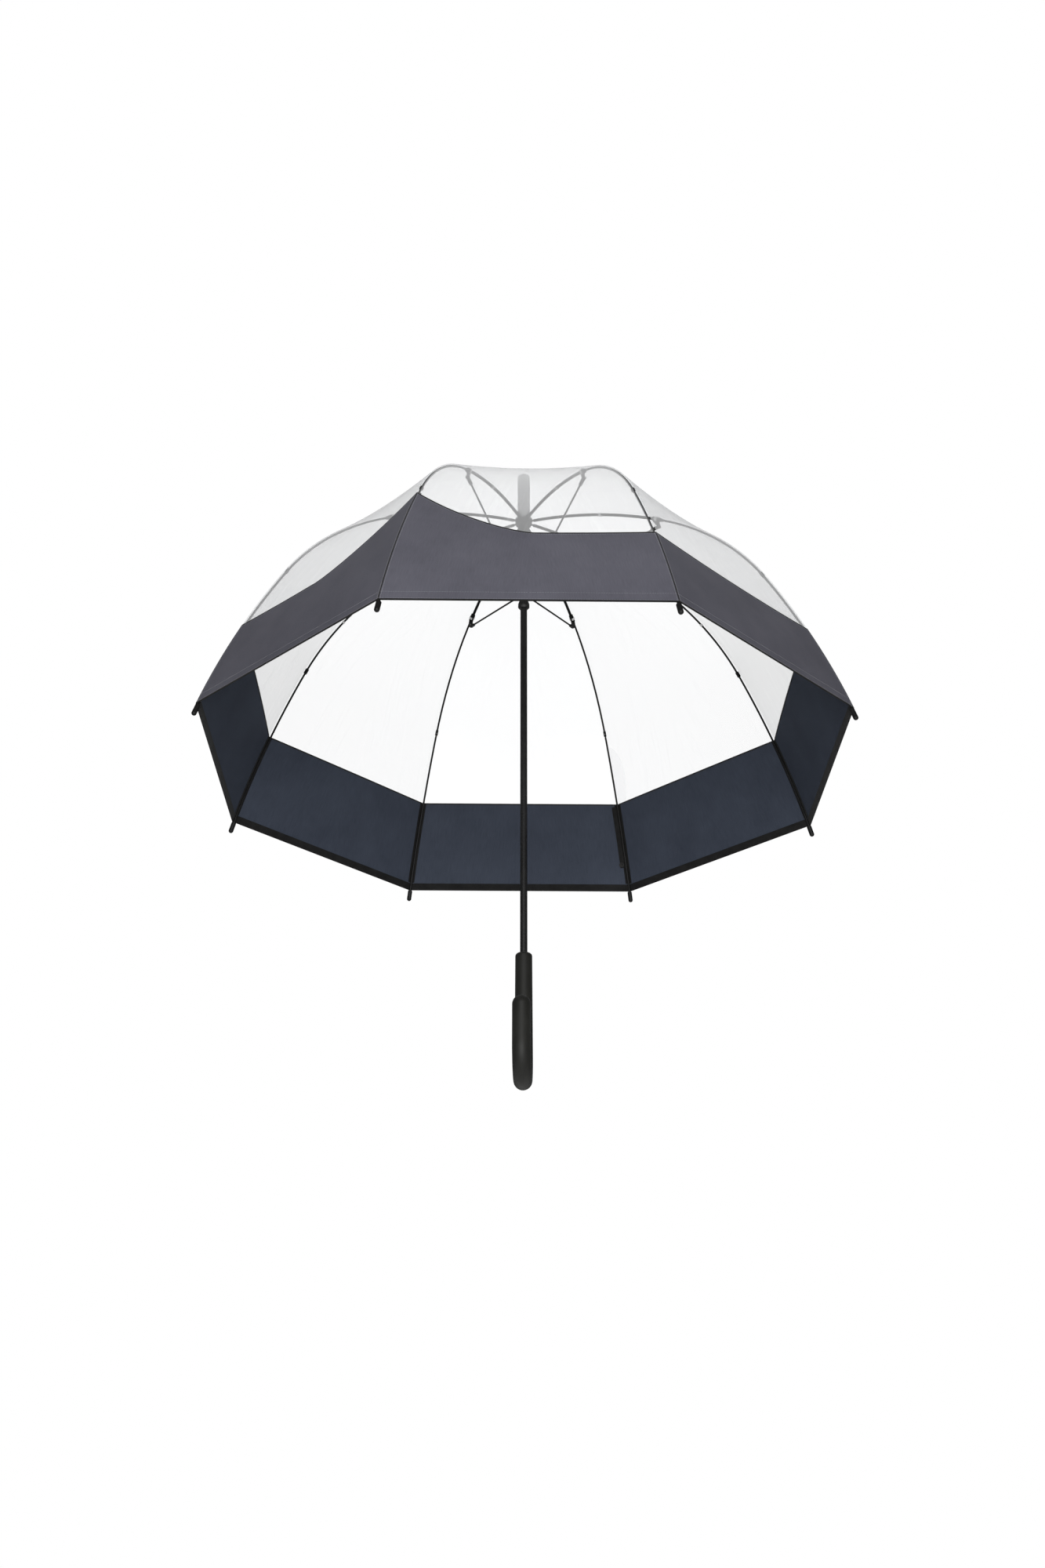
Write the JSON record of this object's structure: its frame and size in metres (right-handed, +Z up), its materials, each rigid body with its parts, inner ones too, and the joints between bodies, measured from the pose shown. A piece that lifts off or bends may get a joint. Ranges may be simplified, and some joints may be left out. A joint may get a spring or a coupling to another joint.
{
  "type": "umbrella",
  "caption": "Deep dome umbrella with a clear canopy, a fabric band round its hem, curved folding ribs and a crook handle.",
  "frame": {"origin": "middle of the grip, on the shaft's axis", "axes": "+Z up along the shaft to the spike, -Y towards the crook's free arm, +X to the right seen from the crook's side"},
  "size_m": [0.8026, 0.8026, 0.8993],
  "materials": {
    "shaft_black": "satin black lacquer",
    "wire_steel": "bright drawn steel",
    "handle_soft_touch": "matt soft-touch black",
    "ferrule_plastic": "smooth moulded plastic",
    "clear_film": "clear film, soft creases",
    "band_fabric": "plain-woven polyester, grey outside and navy inside",
    "binding_tape": "black woven tape",
    "rib_black": "black lacquered steel and fibreglass",
    "tip_plastic": "moulded black plastic"
  },
  "bodies": {
    "shaft": {"shaft_tube": "shaft_black", "handle": "handle_soft_touch", "crown_notch": "shaft_black", "crown_wire": "wire_steel", "spike_ferrule": "ferrule_plastic", "canopy_rosette": "ferrule_plastic", "stop_pin": "shaft_black", "canopy_clear": "clear_film", "canopy_band": "band_fabric", "hem_binding": "binding_tape", "seam_tapes": "binding_tape"},
    "rib_1": {"rib_channel_1": "rib_black"},
    "rib_1_upper": {"rib_rod_upper_1": "rib_black"},
    "rib_1_lower": {"rib_rod_lower_1": "rib_black", "rib_tip_1": "tip_plastic"},
    "strut_1": {"stretcher_1": "rib_black"},
    "rib_2": {"rib_channel_2": "rib_black"},
    "rib_2_upper": {"rib_rod_upper_2": "rib_black"},
    "rib_2_lower": {"rib_rod_lower_2": "rib_black", "rib_tip_2": "tip_plastic"},
    "strut_2": {"stretcher_2": "rib_black"},
    "rib_3": {"rib_channel_3": "rib_black"},
    "rib_3_upper": {"rib_rod_upper_3": "rib_black"},
    "rib_3_lower": {"rib_rod_lower_3": "rib_black", "rib_tip_3": "tip_plastic"},
    "strut_3": {"stretcher_3": "rib_black"},
    "rib_4": {"rib_channel_4": "rib_black"},
    "rib_4_upper": {"rib_rod_upper_4": "rib_black"},
    "rib_4_lower": {"rib_rod_lower_4": "rib_black", "rib_tip_4": "tip_plastic", "tie_strap": "band_fabric", "strap_snap": "tip_plastic"},
    "strut_4": {"stretcher_4": "rib_black"},
    "rib_5": {"rib_channel_5": "rib_black"},
    "rib_5_upper": {"rib_rod_upper_5": "rib_black"},
    "rib_5_lower": {"rib_rod_lower_5": "rib_black", "rib_tip_5": "tip_plastic"},
    "strut_5": {"stretcher_5": "rib_black"},
    "rib_6": {"rib_channel_6": "rib_black"},
    "rib_6_upper": {"rib_rod_upper_6": "rib_black"},
    "rib_6_lower": {"rib_rod_lower_6": "rib_black", "rib_tip_6": "tip_plastic"},
    "strut_6": {"stretcher_6": "rib_black"},
    "rib_7": {"rib_channel_7": "rib_black"},
    "rib_7_upper": {"rib_rod_upper_7": "rib_black"},
    "rib_7_lower": {"rib_rod_lower_7": "rib_black", "rib_tip_7": "tip_plastic"},
    "strut_7": {"stretcher_7": "rib_black"},
    "rib_8": {"rib_channel_8": "rib_black"},
    "rib_8_upper": {"rib_rod_upper_8": "rib_black"},
    "rib_8_lower": {"rib_rod_lower_8": "rib_black", "rib_tip_8": "tip_plastic"},
    "strut_8": {"stretcher_8": "rib_black"},
    "slider": {"runner": "shaft_black", "runner_wire": "wire_steel"},
    "top_lock": {"top_catch": "wire_steel"},
    "bottom_lock": {"bottom_catch": "wire_steel"}
  },
  "joints": [
    {"name": "fold", "type": "hinge", "parent": "shaft", "child": "rib_1", "pos_m": [0.00364, -0.00878, 0.705], "axis": [0.9239, 0.3827, 0], "range_deg": [0, 67.5], "deforming": ["canopy_clear", "canopy_band", "hem_binding", "seam_tapes"]},
    {"name": "rib_1_bend", "type": "hinge", "parent": "rib_1", "child": "rib_1_upper", "pos_m": [0.07624, -0.18405, 0.65682], "axis": [0.9239, 0.3827, 0], "range_deg": [-27.5, 0]},
    {"name": "rib_1_tip_bend", "type": "hinge", "parent": "rib_1_upper", "child": "rib_1_lower", "pos_m": [0.12661, -0.30567, 0.53514], "axis": [0.9239, 0.3827, 0], "range_deg": [-20.5, 0]},
    {"name": "rib_2_fold", "type": "hinge", "parent": "shaft", "child": "rib_2", "pos_m": [0.00878, -0.00364, 0.705], "axis": [0.3827, 0.9239, 0], "range_deg": [0, 67.5]},
    {"name": "rib_2_bend", "type": "hinge", "parent": "rib_2", "child": "rib_2_upper", "pos_m": [0.18405, -0.07624, 0.65682], "axis": [0.3827, 0.9239, 0], "range_deg": [-27.5, 0]},
    {"name": "rib_2_tip_bend", "type": "hinge", "parent": "rib_2_upper", "child": "rib_2_lower", "pos_m": [0.30567, -0.12661, 0.53514], "axis": [0.3827, 0.9239, 0], "range_deg": [-20.5, 0]},
    {"name": "rib_3_fold", "type": "hinge", "parent": "shaft", "child": "rib_3", "pos_m": [0.00878, 0.00364, 0.705], "axis": [-0.3827, 0.9239, 0], "range_deg": [0, 67.5]},
    {"name": "rib_3_bend", "type": "hinge", "parent": "rib_3", "child": "rib_3_upper", "pos_m": [0.18405, 0.07624, 0.65682], "axis": [-0.3827, 0.9239, 0], "range_deg": [-27.5, 0]},
    {"name": "rib_3_tip_bend", "type": "hinge", "parent": "rib_3_upper", "child": "rib_3_lower", "pos_m": [0.30567, 0.12661, 0.53514], "axis": [-0.3827, 0.9239, 0], "range_deg": [-20.5, 0]},
    {"name": "rib_4_fold", "type": "hinge", "parent": "shaft", "child": "rib_4", "pos_m": [0.00364, 0.00878, 0.705], "axis": [-0.9239, 0.3827, 0], "range_deg": [0, 67.5]},
    {"name": "rib_4_bend", "type": "hinge", "parent": "rib_4", "child": "rib_4_upper", "pos_m": [0.07624, 0.18405, 0.65682], "axis": [-0.9239, 0.3827, 0], "range_deg": [-27.5, 0]},
    {"name": "rib_4_tip_bend", "type": "hinge", "parent": "rib_4_upper", "child": "rib_4_lower", "pos_m": [0.12661, 0.30567, 0.53514], "axis": [-0.9239, 0.3827, 0], "range_deg": [-20.5, 0]},
    {"name": "rib_5_fold", "type": "hinge", "parent": "shaft", "child": "rib_5", "pos_m": [-0.00364, 0.00878, 0.705], "axis": [-0.9239, -0.3827, 0], "range_deg": [0, 67.5]},
    {"name": "rib_5_bend", "type": "hinge", "parent": "rib_5", "child": "rib_5_upper", "pos_m": [-0.07624, 0.18405, 0.65682], "axis": [-0.9239, -0.3827, 0], "range_deg": [-27.5, 0]},
    {"name": "rib_5_tip_bend", "type": "hinge", "parent": "rib_5_upper", "child": "rib_5_lower", "pos_m": [-0.12661, 0.30567, 0.53514], "axis": [-0.9239, -0.3827, 0], "range_deg": [-20.5, 0]},
    {"name": "rib_6_fold", "type": "hinge", "parent": "shaft", "child": "rib_6", "pos_m": [-0.00878, 0.00364, 0.705], "axis": [-0.3827, -0.9239, 0], "range_deg": [0, 67.5]},
    {"name": "rib_6_bend", "type": "hinge", "parent": "rib_6", "child": "rib_6_upper", "pos_m": [-0.18405, 0.07624, 0.65682], "axis": [-0.3827, -0.9239, 0], "range_deg": [-27.5, 0]},
    {"name": "rib_6_tip_bend", "type": "hinge", "parent": "rib_6_upper", "child": "rib_6_lower", "pos_m": [-0.30567, 0.12661, 0.53514], "axis": [-0.3827, -0.9239, 0], "range_deg": [-20.5, 0]},
    {"name": "rib_7_fold", "type": "hinge", "parent": "shaft", "child": "rib_7", "pos_m": [-0.00878, -0.00364, 0.705], "axis": [0.3827, -0.9239, 0], "range_deg": [0, 67.5]},
    {"name": "rib_7_bend", "type": "hinge", "parent": "rib_7", "child": "rib_7_upper", "pos_m": [-0.18405, -0.07624, 0.65682], "axis": [0.3827, -0.9239, 0], "range_deg": [-27.5, 0]},
    {"name": "rib_7_tip_bend", "type": "hinge", "parent": "rib_7_upper", "child": "rib_7_lower", "pos_m": [-0.30567, -0.12661, 0.53514], "axis": [0.3827, -0.9239, 0], "range_deg": [-20.5, 0]},
    {"name": "rib_8_fold", "type": "hinge", "parent": "shaft", "child": "rib_8", "pos_m": [-0.00364, -0.00878, 0.705], "axis": [0.9239, -0.3827, 0], "range_deg": [0, 67.5]},
    {"name": "rib_8_bend", "type": "hinge", "parent": "rib_8", "child": "rib_8_upper", "pos_m": [-0.07624, -0.18405, 0.65682], "axis": [0.9239, -0.3827, 0], "range_deg": [-27.5, 0]},
    {"name": "rib_8_tip_bend", "type": "hinge", "parent": "rib_8_upper", "child": "rib_8_lower", "pos_m": [-0.12661, -0.30567, 0.53514], "axis": [0.9239, -0.3827, 0], "range_deg": [-20.5, 0]},
    {"name": "strut_1_pivot", "type": "hinge", "parent": "rib_1", "child": "strut_1", "pos_m": [0.07459, -0.18007, 0.64779], "axis": [0.9239, 0.3827, 0], "range_deg": [-135, 0]},
    {"name": "runner_pivot", "type": "hinge", "parent": "strut_1", "child": "slider", "pos_m": [0.00364, -0.00878, 0.59059], "axis": [0.9239, 0.3827, 0], "range_deg": [0, 67.5]},
    {"name": "strut_2_pivot", "type": "hinge", "parent": "slider", "child": "strut_2", "pos_m": [0.00878, -0.00364, 0.59059], "axis": [0.3827, 0.9239, 0], "range_deg": [-67.5, 0]},
    {"name": "strut_3_pivot", "type": "hinge", "parent": "slider", "child": "strut_3", "pos_m": [0.00878, 0.00364, 0.59059], "axis": [-0.3827, 0.9239, 0], "range_deg": [-67.5, 0]},
    {"name": "strut_4_pivot", "type": "hinge", "parent": "slider", "child": "strut_4", "pos_m": [0.00364, 0.00878, 0.59059], "axis": [-0.9239, 0.3827, 0], "range_deg": [-67.5, 0]},
    {"name": "strut_5_pivot", "type": "hinge", "parent": "slider", "child": "strut_5", "pos_m": [-0.00364, 0.00878, 0.59059], "axis": [-0.9239, -0.3827, 0], "range_deg": [-67.5, 0]},
    {"name": "strut_6_pivot", "type": "hinge", "parent": "slider", "child": "strut_6", "pos_m": [-0.00878, 0.00364, 0.59059], "axis": [-0.3827, -0.9239, 0], "range_deg": [-67.5, 0]},
    {"name": "strut_7_pivot", "type": "hinge", "parent": "slider", "child": "strut_7", "pos_m": [-0.00878, -0.00364, 0.59059], "axis": [0.3827, -0.9239, 0], "range_deg": [-67.5, 0]},
    {"name": "strut_8_pivot", "type": "hinge", "parent": "slider", "child": "strut_8", "pos_m": [-0.00364, -0.00878, 0.59059], "axis": [0.9239, -0.3827, 0], "range_deg": [-67.5, 0]},
    {"name": "top_catch_press", "type": "slide", "parent": "shaft", "child": "top_lock", "axis": [0, -1, 0], "range_m": [0, 0.002], "stiffness_N_per_m": 600, "springref_m": -0.001},
    {"name": "bottom_catch_press", "type": "slide", "parent": "shaft", "child": "bottom_lock", "axis": [0, -1, 0], "range_m": [0, 0.002], "stiffness_N_per_m": 600, "springref_m": -0.001}
  ],
  "couplings": [
    {"joint": "rib_1_bend", "follows": "fold", "ratio": -0.4},
    {"joint": "rib_1_tip_bend", "follows": "fold", "ratio": -0.3},
    {"joint": "rib_2_fold", "follows": "fold", "ratio": 1},
    {"joint": "rib_2_bend", "follows": "fold", "ratio": -0.4},
    {"joint": "rib_2_tip_bend", "follows": "fold", "ratio": -0.3},
    {"joint": "rib_3_fold", "follows": "fold", "ratio": 1},
    {"joint": "rib_3_bend", "follows": "fold", "ratio": -0.4},
    {"joint": "rib_3_tip_bend", "follows": "fold", "ratio": -0.3},
    {"joint": "rib_4_fold", "follows": "fold", "ratio": 1},
    {"joint": "rib_4_bend", "follows": "fold", "ratio": -0.4},
    {"joint": "rib_4_tip_bend", "follows": "fold", "ratio": -0.3},
    {"joint": "rib_5_fold", "follows": "fold", "ratio": 1},
    {"joint": "rib_5_bend", "follows": "fold", "ratio": -0.4},
    {"joint": "rib_5_tip_bend", "follows": "fold", "ratio": -0.3},
    {"joint": "rib_6_fold", "follows": "fold", "ratio": 1},
    {"joint": "rib_6_bend", "follows": "fold", "ratio": -0.4},
    {"joint": "rib_6_tip_bend", "follows": "fold", "ratio": -0.3},
    {"joint": "rib_7_fold", "follows": "fold", "ratio": 1},
    {"joint": "rib_7_bend", "follows": "fold", "ratio": -0.4},
    {"joint": "rib_7_tip_bend", "follows": "fold", "ratio": -0.3},
    {"joint": "rib_8_fold", "follows": "fold", "ratio": 1},
    {"joint": "rib_8_bend", "follows": "fold", "ratio": -0.4},
    {"joint": "rib_8_tip_bend", "follows": "fold", "ratio": -0.3},
    {"joint": "strut_1_pivot", "follows": "fold", "ratio": -2},
    {"joint": "runner_pivot", "follows": "fold", "ratio": 1},
    {"joint": "strut_2_pivot", "follows": "fold", "ratio": -1},
    {"joint": "strut_3_pivot", "follows": "fold", "ratio": -1},
    {"joint": "strut_4_pivot", "follows": "fold", "ratio": -1},
    {"joint": "strut_5_pivot", "follows": "fold", "ratio": -1},
    {"joint": "strut_6_pivot", "follows": "fold", "ratio": -1},
    {"joint": "strut_7_pivot", "follows": "fold", "ratio": -1},
    {"joint": "strut_8_pivot", "follows": "fold", "ratio": -1}
  ]
}
